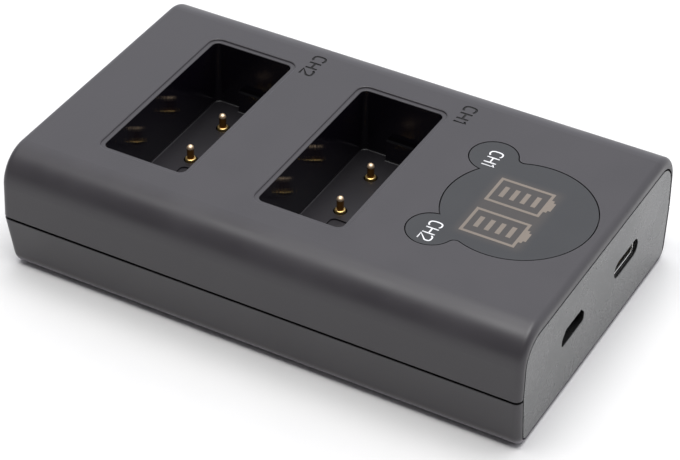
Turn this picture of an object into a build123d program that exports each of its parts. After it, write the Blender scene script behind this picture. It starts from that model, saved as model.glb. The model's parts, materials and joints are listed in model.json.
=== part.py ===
from build123d import *
import os
from math import hypot, radians, tan

# Two-bay desktop charger for camera batteries, in millimetres.
# The origin is the centre of the underside, +X points to the socket end and +Z points up.

# Casing, two moulded shells that meet at a seam
length = 99.0
width = 60.6
height = 23.4
seam_height = 10.6
seam_gap = 0.42
upper_draft = 1.5
lower_draft = 5.5
top_radius = 6.3
bottom_radius = 3.0
corner_radius = 1.2
end_edge_radius = 1.2
edge_break = 0.12
pick_margin = 0.01
wall = 2.1
top_wall = 2.0
base_wall = 2.0
cavity_radius = 1.5
cavity_top_radius = 4.2

# Tongue of the lower shell, in its rebate of the upper shell
tongue_thickness = 0.9
tongue_height = 1.5
tongue_clearance = 0.1

# End panel, set flush into the open end of both shells
panel_thickness = 1.6
panel_top_rim = 2.05
panel_side_rim = 1.25
panel_bottom_rim = 0.9
panel_top_radius = 4.8
panel_bottom_radius = 1.6
panel_gap = 0.36
panel_edge_radius = 0.06
panel_stop_thickness = 1.2
panel_stop_height = 1.4

# Battery bays, set in from the closed end and from the room for the display
bay_margin = 13.6
display_length = 38.85
bay_width = 16.1
bay_length = 37.0
bay_depth = 13.0
bay_wall = 1.4
bay_floor = 1.5
bay_corner_radius = 1.2
bay_floor_radius = 0.25
bay_rebate_width = 0.8
bay_rebate_depth = 0.28
bay_rebate_round = 0.24
key_rib_reach = 10.65
key_rib_thickness = 1.4
key_rib_height = 4.5
key_rib_lead = 0.3
key_recess_width = 5.6
key_recess_length = 6.0
key_recess_depth = 0.3
key_recess_radius = 1.0
key_recess_gap = 2.3

# Display window and the light box below it
window_radius = 13.1
window_end_margin = 2.4
window_thickness = 1.2
window_sink = 0.03
window_gap = 0.22
lobe_radius = 4.2
lobe_overhang = 2.44
lobe_angle = 48.0
lobe_outer_fillet = 1.3
lobe_inner_fillet = 1.1
display_offset_x = -1.5
display_offset_y = -0.8
display_width = 11.4
display_breadth = 17.6
display_clearance = 0.3
display_corner_radius = 0.8
display_window_gap = 0.1
cell_width = 0.9
cell_breadth = 3.4
cell_pitch = 1.9
cell_row_pitch = 9.4
cell_depth = 0.8
cell_count = 4
leg_diameter = 0.5
leg_clearance = 0.1
leg_pitch = 2.54
leg_count = 5
leg_inset = 1.2
leg_stick_out = 0.8

# Sprung contacts, two in each bay
contact_offset_x = -2.45
contact_first_y = 0.25
contact_pitch = 11.0
barrel_diameter = 2.0
barrel_bore = 1.5
barrel_lip = 0.35
barrel_base = 0.45
barrel_proud = 0.45
barrel_edge_radius = 0.25
barrel_tail_diameter = 0.9
barrel_tail_length = 1.6
barrel_hole_clearance = 0.25
plunger_diameter = 1.3
plunger_height = 3.15
plunger_flange = 0.4
plunger_clearance = 0.03
spring_wire = 0.2
spring_turns = 5
spring_side_gap = 0.06

# Circuit boards
main_board_width = 39.0
main_board_thickness = 1.6
main_board_margin = 1.2
main_board_panel_gap = 0.9
contact_board_width = 16.0
contact_board_thickness = 1.2
contact_board_standoff = 2.4
contact_board_margin = 6.0
contact_board_overlap = 4.5
post_diameter = 4.0
peg_diameter = 1.6
peg_clearance = 0.1
peg_short = 0.2
clamp_offset_x = 3.5
clamp_pitch = 10.0
post_side_inset = 3.0
post_bay_inset = 3.2
post_end_inset = 9.5

# Link header between the two boards
header_pin = 0.64
header_pitch = 2.54
header_count = 4
header_height = 2.5
header_pin_clearance = 0.02
header_hole_diameter = 1.05
header_stick_out = 0.8
header_inset = 2.2

# Sockets
port_height = 12.12
port_pitch = 21.1
usb_c_width = 8.94
usb_c_height = 3.16
usb_c_radius = 1.28
usb_c_length = 7.3
usb_c_recess = 0.65
usb_c_wall = 0.3
usb_c_slot_width = 9.7
usb_c_slot_height = 3.4
usb_c_slot_radius = 1.65
usb_c_tongue_width = 6.6
usb_c_tongue_thickness = 0.7
usb_c_tongue_length = 4.4
micro_width = 7.8
micro_height = 2.4
micro_bevel_width = 1.1
micro_bevel_height = 1.2
micro_corner_radius = 0.4
micro_length = 5.6
micro_recess = 1.6
micro_wall = 0.3
micro_slot_gap = 0.35
micro_tongue_width = 4.4
micro_tongue_thickness = 0.6
micro_tongue_length = 3.2
socket_back = 2.2
socket_fit = 0.02
socket_lip_radius = 0.08

# Case screws and their bosses
boss_diameter = 6.0
boss_inset_x = 6.0
boss_inset_end = 8.2
boss_inset_y = 6.1
boss_split = 6.0
screw_diameter = 2.2
screw_length = 9.0
screw_clearance = 0.02
screw_head_diameter = 3.8
screw_head_height = 1.5
screw_head_clearance = 0.2
screw_well_depth = 3.0
screw_passage_clearance = 0.15
screw_end_room = 1.0
drive_length = 2.2
drive_width = 0.5
drive_depth = 0.8

# Parts on the underside of the main board
chip_length = 5.0
chip_width = 4.0
chip_height = 1.5
chip_pitch = 8.6
controller_side = 7.0
controller_height = 1.2
controller_inset = 9.7
lead_length = 0.7
lead_width = 0.45
lead_thickness = 0.2
lead_pitch = 1.27
lead_count = 4
inductor_diameter = 6.0
inductor_waist_diameter = 4.6
inductor_height = 4.0
inductor_flange = 0.9
inductor_side_inset = 6.0
inductor_inset = 9.7
capacitor_diameter = 5.0
capacitor_height = 6.5
capacitor_edge_radius = 0.5
capacitor_side_inset = 4.0

# Places that follow from the sizes above
closed_end = -length / 2
socket_end = length / 2
panel_seat = socket_end - panel_thickness
half_width = width / 2
cavity_half = half_width - wall
cavity_start = closed_end + wall
ceiling = height - top_wall
upper_start = seam_height + seam_gap / 2
lower_end = seam_height - seam_gap / 2
upper_inset = (height - seam_height) * tan(radians(upper_draft))
lower_inset = seam_height * tan(radians(lower_draft))
tongue_top = upper_start + tongue_height

bay_places = [
    closed_end + bay_margin + bay_width / 2,
    socket_end - display_length - bay_width / 2,
]
floor_top = height - bay_depth
floor_under = floor_top - bay_floor
last_bay_wall = bay_places[-1] + bay_width / 2 + bay_wall

contact_ys = [contact_first_y, contact_first_y + contact_pitch]
contact_middle = contact_first_y + contact_pitch / 2
contact_points = [(x + contact_offset_x, y) for x in bay_places for y in contact_ys]
key_recess_y = contact_first_y - key_recess_gap - key_recess_length / 2
key_rib_top = floor_top + key_rib_height
key_rib_face = bay_length / 2 - key_rib_thickness

window_x = socket_end - window_end_margin - window_radius
window_top = height - window_sink
window_under = window_top - window_thickness
display_x = window_x + display_offset_x
display_y = display_offset_y

main_board_under = port_height + usb_c_height / 2
main_board_top = main_board_under + main_board_thickness
main_board_start = last_bay_wall + main_board_margin
main_board_end = panel_seat - main_board_panel_gap
main_board_x = (main_board_start + main_board_end) / 2
contact_board_under = base_wall + contact_board_standoff
contact_board_top = contact_board_under + contact_board_thickness
contact_board_start = bay_places[0] - bay_width / 2 - contact_board_margin
contact_board_end = main_board_start + contact_board_overlap
header_x = contact_board_end - header_inset

barrel_top = floor_top + barrel_proud
barrel_floor = contact_board_top + barrel_base
lip_under = barrel_top - barrel_lip
plunger_tip = floor_top + plunger_height
flange_under = lip_under - plunger_flange
flange_radius = barrel_bore / 2 - plunger_clearance
plunger_radius = plunger_diameter / 2

micro_middle = main_board_under - micro_height / 2
usb_c_y = port_pitch / 2
micro_y = -port_pitch / 2

boss_xs = [closed_end + boss_inset_x, socket_end - boss_inset_end]
boss_y = half_width - boss_inset_y
boss_points = [(x, side * boss_y) for x in boss_xs for side in (-1, 1)]
post_y = main_board_width / 2 - post_side_inset
post_xs = [main_board_start + post_bay_inset, main_board_end - post_end_inset]
main_post_points = [(x, side * post_y) for x in post_xs for side in (-1, 1)]
clamp_points = [
    (x + clamp_offset_x, contact_middle + side * clamp_pitch / 2) for x in bay_places for side in (-1, 1)
]
leg_points = [
    (display_x + side * (display_width / 2 - leg_inset), display_y + (row - (leg_count - 1) / 2) * leg_pitch)
    for side in (-1, 1)
    for row in range(leg_count)
]
header_points = [
    (header_x, contact_middle + (row - (header_count - 1) / 2) * header_pitch) for row in range(header_count)
]


def end_outline(x):
    """Outline of the whole end, seen along X, on the plane at x."""
    with BuildSketch(Plane.YZ.offset(x)) as outline:
        with BuildLine():
            Polyline(
                (half_width - lower_inset, 0),
                (half_width, seam_height),
                (half_width - upper_inset, height),
                (upper_inset - half_width, height),
                (-half_width, seam_height),
                (lower_inset - half_width, 0),
                close=True,
            )
        make_face()
        fillet(outline.vertices().group_by(Axis.Y)[-1], top_radius)
        fillet(outline.vertices().group_by(Axis.Y)[0], bottom_radius)
    return outline.sketch


def panel_outline(grow, x):
    """Outline of the end panel's opening in the two shells, grown by grow, on the plane at x."""
    panel_top = height - panel_top_rim
    half_low = half_width - panel_side_rim - (seam_height - panel_bottom_rim) * tan(radians(lower_draft))
    half_high = half_width - panel_side_rim - (panel_top - seam_height) * tan(radians(upper_draft))
    with BuildSketch(Plane.YZ.offset(x)) as outline:
        with BuildLine():
            Polyline(
                (half_low, panel_bottom_rim),
                (half_width - panel_side_rim, seam_height),
                (half_high, panel_top),
                (-half_high, panel_top),
                (panel_side_rim - half_width, seam_height),
                (-half_low, panel_bottom_rim),
                close=True,
            )
        make_face()
        fillet(outline.vertices().group_by(Axis.Y)[-1], panel_top_radius)
        fillet(outline.vertices().group_by(Axis.Y)[0], panel_bottom_radius)
        if grow:
            offset(amount=grow, mode=Mode.REPLACE)
    return outline.sketch


def window_outline(grow, z):
    """Round window with two label lobes, grown by a gap, on the plane at z."""
    radius = window_radius + grow
    with BuildSketch(Plane.XY.offset(z)) as outline:
        with Locations((window_x, 0)):
            Circle(radius)
            with PolarLocations(
                window_radius + lobe_overhang, 2, 180 - lobe_angle, 2 * lobe_angle, endpoint=True
            ):
                Circle(lobe_radius + grow)
        corners = outline.vertices().filter_by(
            lambda corner: abs(hypot(corner.X - window_x, corner.Y) - radius) < pick_margin and corner.X < window_x
        )
        inner, outer = corners.group_by(Axis.X)
        fillet(outer, lobe_outer_fillet - grow)
        fillet(inner, lobe_inner_fillet - grow)
    return outline.sketch


def usb_c_outline(inset, x):
    """Rounded outline of the wide socket, drawn in by inset, on the plane at x."""
    with BuildSketch(Plane.YZ.offset(x)) as outline:
        with Locations((usb_c_y, port_height)):
            RectangleRounded(usb_c_width - 2 * inset, usb_c_height - 2 * inset, usb_c_radius - inset)
    return outline.sketch


def micro_outline(grow, x):
    """Bevelled outline of the narrow socket, wide side down, grown by a gap, on the plane at x."""
    low = micro_middle - micro_height / 2
    high = micro_middle + micro_height / 2
    side = micro_width / 2
    with BuildSketch(Plane.YZ.offset(x)) as outline:
        with BuildLine():
            Polyline(
                (micro_y - side, low),
                (micro_y + side, low),
                (micro_y + side, high - micro_bevel_height),
                (micro_y + side - micro_bevel_width, high),
                (micro_y - side + micro_bevel_width, high),
                (micro_y - side, high - micro_bevel_height),
                close=True,
            )
        make_face()
        fillet(outline.vertices(), micro_corner_radius)
        if grow:
            offset(amount=grow, mode=Mode.REPLACE)
    return outline.sketch


# Upper shell, with both bays moulded into its top
with BuildPart() as upper_shell:
    extrude(end_outline(closed_end), amount=length)
    with BuildSketch(Plane.XZ) as upper_side:
        with BuildLine():
            Polyline(
                (closed_end + seam_gap / 2 * tan(radians(upper_draft)), upper_start),
                (socket_end, upper_start),
                (socket_end, height),
                (closed_end + upper_inset, height),
                close=True,
            )
        make_face()
    extrude(amount=width, both=True, mode=Mode.INTERSECT)
    end_face = upper_shell.faces().sort_by(Axis.X)[0]
    fillet(end_face.edges().filter_by(lambda edge: edge.center().Z > upper_start + pick_margin), corner_radius)
    end_face = upper_shell.faces().sort_by(Axis.X)[-1]
    fillet(end_face.edges().filter_by(lambda edge: edge.center().Z > upper_start + pick_margin), end_edge_radius)
    seam_face = upper_shell.faces().sort_by(Axis.Z)[0]
    fillet(seam_face.edges().filter_by(lambda edge: edge.center().X < socket_end - pick_margin), edge_break)

    # Hollow, tongue rebate and the seat of the end panel
    with BuildSketch(Plane.YZ.offset(cavity_start)) as upper_cavity:
        with Locations((0, ceiling)):
            Rectangle(2 * cavity_half, ceiling, align=(Align.CENTER, Align.MAX))
        fillet(upper_cavity.vertices().group_by(Axis.Y)[-1], cavity_top_radius)
    extrude(amount=panel_seat - cavity_start, mode=Mode.SUBTRACT)
    rebate_side = tongue_thickness + tongue_clearance
    with Locations((cavity_start - rebate_side, 0, tongue_top)):
        Box(
            panel_seat - cavity_start + rebate_side,
            2 * (cavity_half + rebate_side),
            tongue_top,
            align=(Align.MIN, Align.CENTER, Align.MAX),
            mode=Mode.SUBTRACT,
        )
    extrude(panel_outline(0, panel_seat), amount=panel_thickness, mode=Mode.SUBTRACT)
    with Locations((panel_seat, 0, ceiling)):
        Box(
            panel_stop_thickness,
            2 * (cavity_half - cavity_top_radius),
            panel_stop_height,
            align=(Align.MAX, Align.CENTER, Align.MAX),
        )

    # Bays with a stepped rim
    with BuildSketch(Plane.XY.offset(floor_under)):
        with Locations([(x, 0) for x in bay_places]):
            RectangleRounded(
                bay_width + 2 * bay_wall, bay_length + 2 * bay_wall, bay_corner_radius + bay_wall
            )
    extrude(amount=ceiling + top_wall / 2 - floor_under)
    for pocket_floor, pocket_top, has_rib in (
        (floor_top, key_rib_top, True),
        (key_rib_top, height, False),
    ):
        with BuildSketch(Plane.XY.offset(pocket_floor)):
            with Locations([(x, 0) for x in bay_places]):
                RectangleRounded(bay_width, bay_length, bay_corner_radius)
            if has_rib:
                with Locations([(x + bay_width / 2, bay_length / 2) for x in bay_places]):
                    Rectangle(
                        key_rib_reach, key_rib_thickness, align=(Align.MAX, Align.MAX), mode=Mode.SUBTRACT
                    )
        extrude(amount=pocket_top - pocket_floor, mode=Mode.SUBTRACT)
    rib_edges = upper_shell.edges().filter_by(Axis.X).filter_by(
        lambda edge: hypot(edge.center().Y - key_rib_face, edge.center().Z - key_rib_top) < pick_margin
    )
    chamfer(rib_edges, key_rib_lead)
    floors = upper_shell.faces().filter_by(Axis.Z).filter_by(
        lambda face: abs(face.center().Z - floor_top) < pick_margin
    )
    fillet(floors.edges(), bay_floor_radius)
    with BuildSketch(Plane.XY.offset(height - bay_rebate_depth)):
        with Locations([(x, 0) for x in bay_places]):
            RectangleRounded(
                bay_width + 2 * bay_rebate_width,
                bay_length + 2 * bay_rebate_width,
                bay_corner_radius + bay_rebate_width,
            )
    extrude(amount=bay_rebate_depth, mode=Mode.SUBTRACT)
    for rim_height, rim_radius in ((height, bay_rebate_round), (height - bay_rebate_depth, edge_break)):
        rims = upper_shell.faces().filter_by(Axis.Z).filter_by(
            lambda face: abs(face.center().Z - rim_height) < pick_margin
        )
        fillet([edge for rim in rims for wire in rim.inner_wires() for edge in wire.edges()], rim_radius)
    with Locations([(x, y, floor_top) for x, y in contact_points]):
        Hole(barrel_diameter / 2 + barrel_hole_clearance, bay_floor)
    with BuildSketch(Plane.XY.offset(floor_top)):
        with Locations([(x, key_recess_y) for x in bay_places]):
            RectangleRounded(key_recess_width, key_recess_length, key_recess_radius)
    extrude(amount=-key_recess_depth, mode=Mode.SUBTRACT)

    # Seat of the display window and the opening for its light box
    extrude(window_outline(window_gap, window_under), amount=window_thickness + window_sink, mode=Mode.SUBTRACT)
    with BuildSketch(Plane.XY.offset(ceiling)):
        with Locations((display_x, display_y)):
            RectangleRounded(
                display_width + 2 * display_clearance,
                display_breadth + 2 * display_clearance,
                display_corner_radius,
            )
    extrude(amount=top_wall, mode=Mode.SUBTRACT)

    # Screw bosses, and posts that clamp both boards
    with Locations([(x, y, boss_split) for x, y in boss_points]):
        Cylinder(
            boss_diameter / 2, ceiling - boss_split, align=(Align.CENTER, Align.CENTER, Align.MIN)
        )
    with Locations([(x, y, boss_split) for x, y in boss_points]):
        Cylinder(
            screw_diameter / 2 + screw_clearance,
            screw_well_depth + screw_length + screw_end_room - boss_split,
            align=(Align.CENTER, Align.CENTER, Align.MIN),
            mode=Mode.SUBTRACT,
        )
    with Locations([(x, y, main_board_top) for x, y in main_post_points]):
        Cylinder(
            post_diameter / 2, ceiling - main_board_top, align=(Align.CENTER, Align.CENTER, Align.MIN)
        )
    with Locations([(x, y, contact_board_top) for x, y in clamp_points]):
        Cylinder(
            post_diameter / 2,
            floor_under - contact_board_top,
            align=(Align.CENTER, Align.CENTER, Align.MIN),
        )

# Lower shell, a tray with the tongue, screw wells and board posts
with BuildPart() as lower_shell:
    extrude(end_outline(closed_end), amount=length)
    with BuildSketch(Plane.XZ):
        with BuildLine():
            Polyline(
                (closed_end + lower_inset, 0),
                (socket_end, 0),
                (socket_end, lower_end),
                (closed_end + seam_gap / 2 * tan(radians(lower_draft)), lower_end),
                close=True,
            )
        make_face()
    extrude(amount=width, both=True, mode=Mode.INTERSECT)
    end_face = lower_shell.faces().sort_by(Axis.X)[0]
    fillet(end_face.edges().filter_by(lambda edge: edge.center().Z < lower_end - pick_margin), corner_radius)
    end_face = lower_shell.faces().sort_by(Axis.X)[-1]
    fillet(end_face.edges().filter_by(lambda edge: edge.center().Z < lower_end - pick_margin), end_edge_radius)
    seam_face = lower_shell.faces().sort_by(Axis.Z)[-1]
    fillet(seam_face.edges().filter_by(lambda edge: edge.center().X < socket_end - pick_margin), edge_break)

    # Hollow that keeps the wall of the drafted sides
    hollow_inset = (seam_height - base_wall) * tan(radians(lower_draft))
    hollow_start = cavity_start + hollow_inset
    with BuildSketch(Plane.YZ.offset(hollow_start)) as lower_cavity:
        with BuildLine():
            Polyline(
                (cavity_half - hollow_inset, base_wall),
                (cavity_half, seam_height),
                (-cavity_half, seam_height),
                (hollow_inset - cavity_half, base_wall),
                close=True,
            )
        make_face()
        fillet(lower_cavity.vertices().group_by(Axis.Y)[0], cavity_radius)
    extrude(amount=panel_seat - hollow_start, mode=Mode.SUBTRACT)
    extrude(panel_outline(0, panel_seat), amount=panel_thickness, mode=Mode.SUBTRACT)

    # Tongue along the two long walls and the closed end
    with BuildSketch(Plane.XY.offset(lower_end)):
        with Locations((cavity_start - tongue_thickness, 0)):
            Rectangle(
                panel_seat - cavity_start + tongue_thickness,
                2 * (cavity_half + tongue_thickness),
                align=(Align.MIN, Align.CENTER),
            )
        with Locations((cavity_start, 0)):
            Rectangle(length, 2 * cavity_half, align=(Align.MIN, Align.CENTER), mode=Mode.SUBTRACT)
    extrude(amount=tongue_top - lower_end)

    # Screw bosses with wells from below
    with Locations([(x, y, 0) for x, y in boss_points]):
        Cylinder(boss_diameter / 2, boss_split, align=(Align.CENTER, Align.CENTER, Align.MIN))
    with Locations(*[Location((x, y, 0), (180, 0, 0)) for x, y in boss_points]):
        CounterBoreHole(
            screw_diameter / 2 + screw_passage_clearance,
            screw_head_diameter / 2 + screw_head_clearance,
            screw_well_depth,
            boss_split,
        )

    # Posts with locating pegs under both boards
    for points, board_under, board_thickness in (
        (clamp_points, contact_board_under, contact_board_thickness),
        (main_post_points, main_board_under, main_board_thickness),
    ):
        with Locations([(x, y, base_wall) for x, y in points]):
            Cylinder(
                post_diameter / 2, board_under - base_wall, align=(Align.CENTER, Align.CENTER, Align.MIN)
            )
        with Locations([(x, y, board_under) for x, y in points]):
            Cylinder(
                peg_diameter / 2, board_thickness - peg_short, align=(Align.CENTER, Align.CENTER, Align.MIN)
            )

# End panel with a slot for each socket
with BuildPart() as end_panel:
    extrude(panel_outline(-panel_gap, panel_seat), amount=panel_thickness)
    with BuildSketch(Plane.YZ.offset(panel_seat)):
        with Locations((usb_c_y, port_height)):
            RectangleRounded(usb_c_slot_width, usb_c_slot_height, usb_c_slot_radius)
    extrude(amount=panel_thickness, mode=Mode.SUBTRACT)
    extrude(micro_outline(micro_slot_gap, panel_seat), amount=panel_thickness, mode=Mode.SUBTRACT)
    fillet(end_panel.faces().sort_by(Axis.X)[-1].edges(), panel_edge_radius)

# Smoked display window
with BuildPart() as display_window:
    extrude(window_outline(0, window_under), amount=window_thickness)

# Light box of the display, one row of light cells for each bay
display_height = window_under - display_window_gap - main_board_top
with BuildPart() as display_module:
    with BuildSketch(Plane.XY.offset(main_board_top)):
        with Locations((display_x, display_y)):
            Rectangle(display_width, display_breadth)
    extrude(amount=display_height)
    with BuildSketch(Plane.XY.offset(main_board_top + display_height - cell_depth)):
        with Locations((display_x, display_y)):
            with GridLocations(cell_pitch, cell_row_pitch, cell_count, 2):
                Rectangle(cell_width, cell_breadth)
    extrude(amount=cell_depth, mode=Mode.SUBTRACT)

with BuildPart() as display_legs:
    with Locations([(x, y, main_board_under - leg_stick_out) for x, y in leg_points]):
        Cylinder(
            leg_diameter / 2,
            main_board_thickness + leg_stick_out,
            align=(Align.CENTER, Align.CENTER, Align.MIN),
        )

# Main board under the display, and the contact board under the bays
with BuildPart() as main_board:
    with BuildSketch(Plane.XY.offset(main_board_under)):
        with Locations((main_board_x, 0)):
            Rectangle(main_board_end - main_board_start, main_board_width)
        with Locations(main_post_points):
            Circle(peg_diameter / 2 + peg_clearance, mode=Mode.SUBTRACT)
        with Locations(leg_points):
            Circle(leg_diameter / 2 + leg_clearance, mode=Mode.SUBTRACT)
        with Locations(header_points):
            Circle(header_hole_diameter / 2, mode=Mode.SUBTRACT)
    extrude(amount=main_board_thickness)

with BuildPart() as contact_board:
    with BuildSketch(Plane.XY.offset(contact_board_under)):
        with Locations(((contact_board_start + contact_board_end) / 2, contact_middle)):
            Rectangle(contact_board_end - contact_board_start, contact_board_width)
        with Locations(clamp_points):
            Circle(peg_diameter / 2 + peg_clearance, mode=Mode.SUBTRACT)
        with Locations(contact_points):
            Circle(barrel_tail_diameter / 2 + peg_clearance, mode=Mode.SUBTRACT)
        with Locations(header_points):
            Circle(header_hole_diameter / 2, mode=Mode.SUBTRACT)
    extrude(amount=contact_board_thickness)

# Pin header that links the two boards
with BuildPart() as header_body:
    with BuildSketch(Plane.XY.offset(contact_board_top)):
        with Locations((header_x, contact_middle)):
            Rectangle(header_pitch, header_pitch * header_count)
        with Locations(header_points):
            Rectangle(
                header_pin + 2 * header_pin_clearance, header_pin + 2 * header_pin_clearance, mode=Mode.SUBTRACT
            )
    extrude(amount=header_height)

with BuildPart() as header_pins:
    with BuildSketch(Plane.XY.offset(contact_board_under - header_stick_out)):
        with Locations(header_points):
            Rectangle(header_pin, header_pin)
    extrude(amount=main_board_top - contact_board_under + 2 * header_stick_out)

# Wide socket: drawn metal shell, and the moulding that carries its tongue
usb_c_front = socket_end - usb_c_recess
with BuildPart() as usb_c_shell:
    extrude(usb_c_outline(0, usb_c_front - usb_c_length), amount=usb_c_length)
    extrude(
        usb_c_outline(usb_c_wall, usb_c_front - usb_c_length), amount=usb_c_length, mode=Mode.SUBTRACT
    )
    fillet(usb_c_shell.faces().sort_by(Axis.X)[-1].edges(), socket_lip_radius)

with BuildPart() as usb_c_tongue:
    extrude(usb_c_outline(usb_c_wall + socket_fit, usb_c_front - usb_c_length), amount=socket_back)
    with BuildSketch(Plane.YZ.offset(usb_c_front - usb_c_length + socket_back)):
        with Locations((usb_c_y, port_height)):
            Rectangle(usb_c_tongue_width, usb_c_tongue_thickness)
    extrude(amount=usb_c_tongue_length)

# Narrow socket, made the same way
micro_front = socket_end - micro_recess
with BuildPart() as micro_usb_shell:
    extrude(micro_outline(0, micro_front - micro_length), amount=micro_length)
    extrude(micro_outline(-micro_wall, micro_front - micro_length), amount=micro_length, mode=Mode.SUBTRACT)
    fillet(micro_usb_shell.faces().sort_by(Axis.X)[-1].edges(), socket_lip_radius)

with BuildPart() as micro_usb_tongue:
    extrude(micro_outline(-micro_wall - socket_fit, micro_front - micro_length), amount=socket_back)
    with BuildSketch(Plane.YZ.offset(micro_front - micro_length + socket_back)):
        with Locations((micro_y, micro_middle)):
            Rectangle(micro_tongue_width, micro_tongue_thickness)
    extrude(amount=micro_tongue_length)

# One sprung contact on the Z axis: crimped barrel, flanged plunger and coil spring
with BuildPart() as contact_barrel:
    with BuildSketch(Plane.XZ):
        with BuildLine():
            Polyline(
                (0, contact_board_top - barrel_tail_length),
                (barrel_tail_diameter / 2, contact_board_top - barrel_tail_length),
                (barrel_tail_diameter / 2, contact_board_top),
                (barrel_diameter / 2, contact_board_top),
                (barrel_diameter / 2, barrel_top),
                (plunger_radius + plunger_clearance, barrel_top),
                (plunger_radius + plunger_clearance, lip_under),
                (barrel_bore / 2, lip_under),
                (barrel_bore / 2, barrel_floor),
                (0, barrel_floor),
                close=True,
            )
        make_face()
    revolve(axis=Axis.Z)
    lip_width = barrel_diameter / 2 - plunger_radius - plunger_clearance
    rim = contact_barrel.edges().filter_by(GeomType.CIRCLE).group_by(Axis.Z)[-1].sort_by(SortBy.RADIUS)[-1]
    fillet(rim, min(barrel_edge_radius, 0.8 * lip_width))

with BuildPart() as contact_plunger:
    with BuildSketch(Plane.XZ):
        with BuildLine():
            Polyline(
                (0, flange_under),
                (flange_radius, flange_under),
                (flange_radius, lip_under - plunger_clearance),
                (plunger_radius, lip_under - plunger_clearance),
                (plunger_radius, plunger_tip - plunger_radius),
            )
            RadiusArc((plunger_radius, plunger_tip - plunger_radius), (0, plunger_tip), -plunger_radius)
            Line((0, plunger_tip), (0, flange_under))
        make_face()
    revolve(axis=Axis.Z)

spring_radius = barrel_bore / 2 - spring_side_gap - spring_wire / 2
spring_rise = flange_under - barrel_floor - spring_wire
with BuildPart() as contact_spring:
    with BuildLine(Plane.XY.offset(barrel_floor + spring_wire / 2)) as coil:
        Helix(spring_rise / spring_turns, spring_rise, spring_radius)
    with BuildSketch(Plane(coil.line @ 0, x_dir=(1, 0, 0), z_dir=(0, 1, 0))):
        Rectangle(spring_wire, spring_wire)
    sweep(path=coil.line, is_frenet=True)

# Four self-tapping screws, driven from below
with BuildPart() as case_screws:
    with Locations([(x, y, screw_well_depth) for x, y in boss_points]):
        Cylinder(screw_diameter / 2, screw_length, align=(Align.CENTER, Align.CENTER, Align.MIN))
        Cylinder(
            screw_head_diameter / 2, screw_head_height, align=(Align.CENTER, Align.CENTER, Align.MAX)
        )
    with Locations([(x, y, screw_well_depth - screw_head_height) for x, y in boss_points]):
        for turn in (0, 90):
            Box(
                drive_length,
                drive_width,
                drive_depth,
                rotation=(0, 0, turn),
                align=(Align.CENTER, Align.CENTER, Align.MIN),
                mode=Mode.SUBTRACT,
            )


def leads(side, body_height):
    """Bent leads along two sides of a chip that hangs from the main board at the current places."""
    lead_drop = body_height / 2
    for face in (-1, 1):
        with GridLocations(lead_pitch, 0, lead_count, 1):
            with Locations((0, face * (side / 2 + lead_length / 2), 0)):
                Box(lead_width, lead_length, lead_thickness, align=(Align.CENTER, Align.CENTER, Align.MAX))
            with Locations((0, face * (side / 2 + lead_thickness / 2), 0)):
                Box(lead_width, lead_thickness, lead_drop, align=(Align.CENTER, Align.CENTER, Align.MAX))


# Charge chips, one for each bay, and the display controller
with BuildPart() as charge_chips:
    with Locations((display_x, display_y, main_board_under)):
        with GridLocations(0, chip_pitch, 1, 2):
            Box(chip_length, chip_width, chip_height, align=(Align.CENTER, Align.CENTER, Align.MAX))
            leads(chip_width, chip_height)

with BuildPart() as controller_chip:
    with Locations((main_board_start + controller_inset, 0, main_board_under)):
        Box(
            controller_side, controller_side, controller_height, align=(Align.CENTER, Align.CENTER, Align.MAX)
        )
        leads(controller_side, controller_height)

# Drum inductors and capacitor cans near the long edges of the main board
with BuildPart() as power_inductors:
    inductor_y = main_board_width / 2 - inductor_side_inset
    inductor_x = main_board_start + inductor_inset
    with Locations([(inductor_x, side * inductor_y, main_board_under) for side in (-1, 1)]):
        Cylinder(
            inductor_waist_diameter / 2, inductor_height, align=(Align.CENTER, Align.CENTER, Align.MAX)
        )
        Cylinder(inductor_diameter / 2, inductor_flange, align=(Align.CENTER, Align.CENTER, Align.MAX))
    with Locations(
        [(inductor_x, side * inductor_y, main_board_under - inductor_height) for side in (-1, 1)]
    ):
        Cylinder(inductor_diameter / 2, inductor_flange, align=(Align.CENTER, Align.CENTER, Align.MIN))

with BuildPart() as filter_capacitors:
    capacitor_y = main_board_width / 2 - capacitor_side_inset
    with Locations([(main_board_x, side * capacitor_y, main_board_under) for side in (-1, 1)]):
        Cylinder(capacitor_diameter / 2, capacitor_height, align=(Align.CENTER, Align.CENTER, Align.MAX))
    fillet(filter_capacitors.edges().group_by(Axis.Z)[0], capacitor_edge_radius)

# One STEP file for each piece
os.makedirs("parts", exist_ok=True)
pieces = {
    "upper_shell": upper_shell.part,
    "lower_shell": lower_shell.part,
    "end_panel": end_panel.part,
    "display_window": display_window.part,
    "display_module": display_module.part,
    "display_legs": display_legs.part,
    "main_board": main_board.part,
    "contact_board": contact_board.part,
    "header_body": header_body.part,
    "header_pins": header_pins.part,
    "usb_c_shell": usb_c_shell.part,
    "usb_c_tongue": usb_c_tongue.part,
    "micro_usb_shell": micro_usb_shell.part,
    "micro_usb_tongue": micro_usb_tongue.part,
    "case_screws": case_screws.part,
    "charge_chips": charge_chips.part,
    "controller_chip": controller_chip.part,
    "power_inductors": power_inductors.part,
    "filter_capacitors": filter_capacitors.part,
}
for number, (x, y) in enumerate(contact_points, start=1):
    place = Location((x, y, 0))
    pieces[f"contact_barrel_{number}"] = contact_barrel.part.moved(place)
    pieces[f"contact_plunger_{number}"] = contact_plunger.part.moved(place)
    pieces[f"contact_spring_{number}"] = contact_spring.part.moved(place)
for name, piece in pieces.items():
    piece.label = name
    export_step(piece, f"parts/{name}.step")
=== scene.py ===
import json
import logging
import math
from dataclasses import dataclass, field
from enum import Enum
from typing import ClassVar, Iterable, Sequence, Union

import bmesh
import bpy
from mathutils import Euler, Matrix, Vector
from mathutils.kdtree import KDTree


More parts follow.
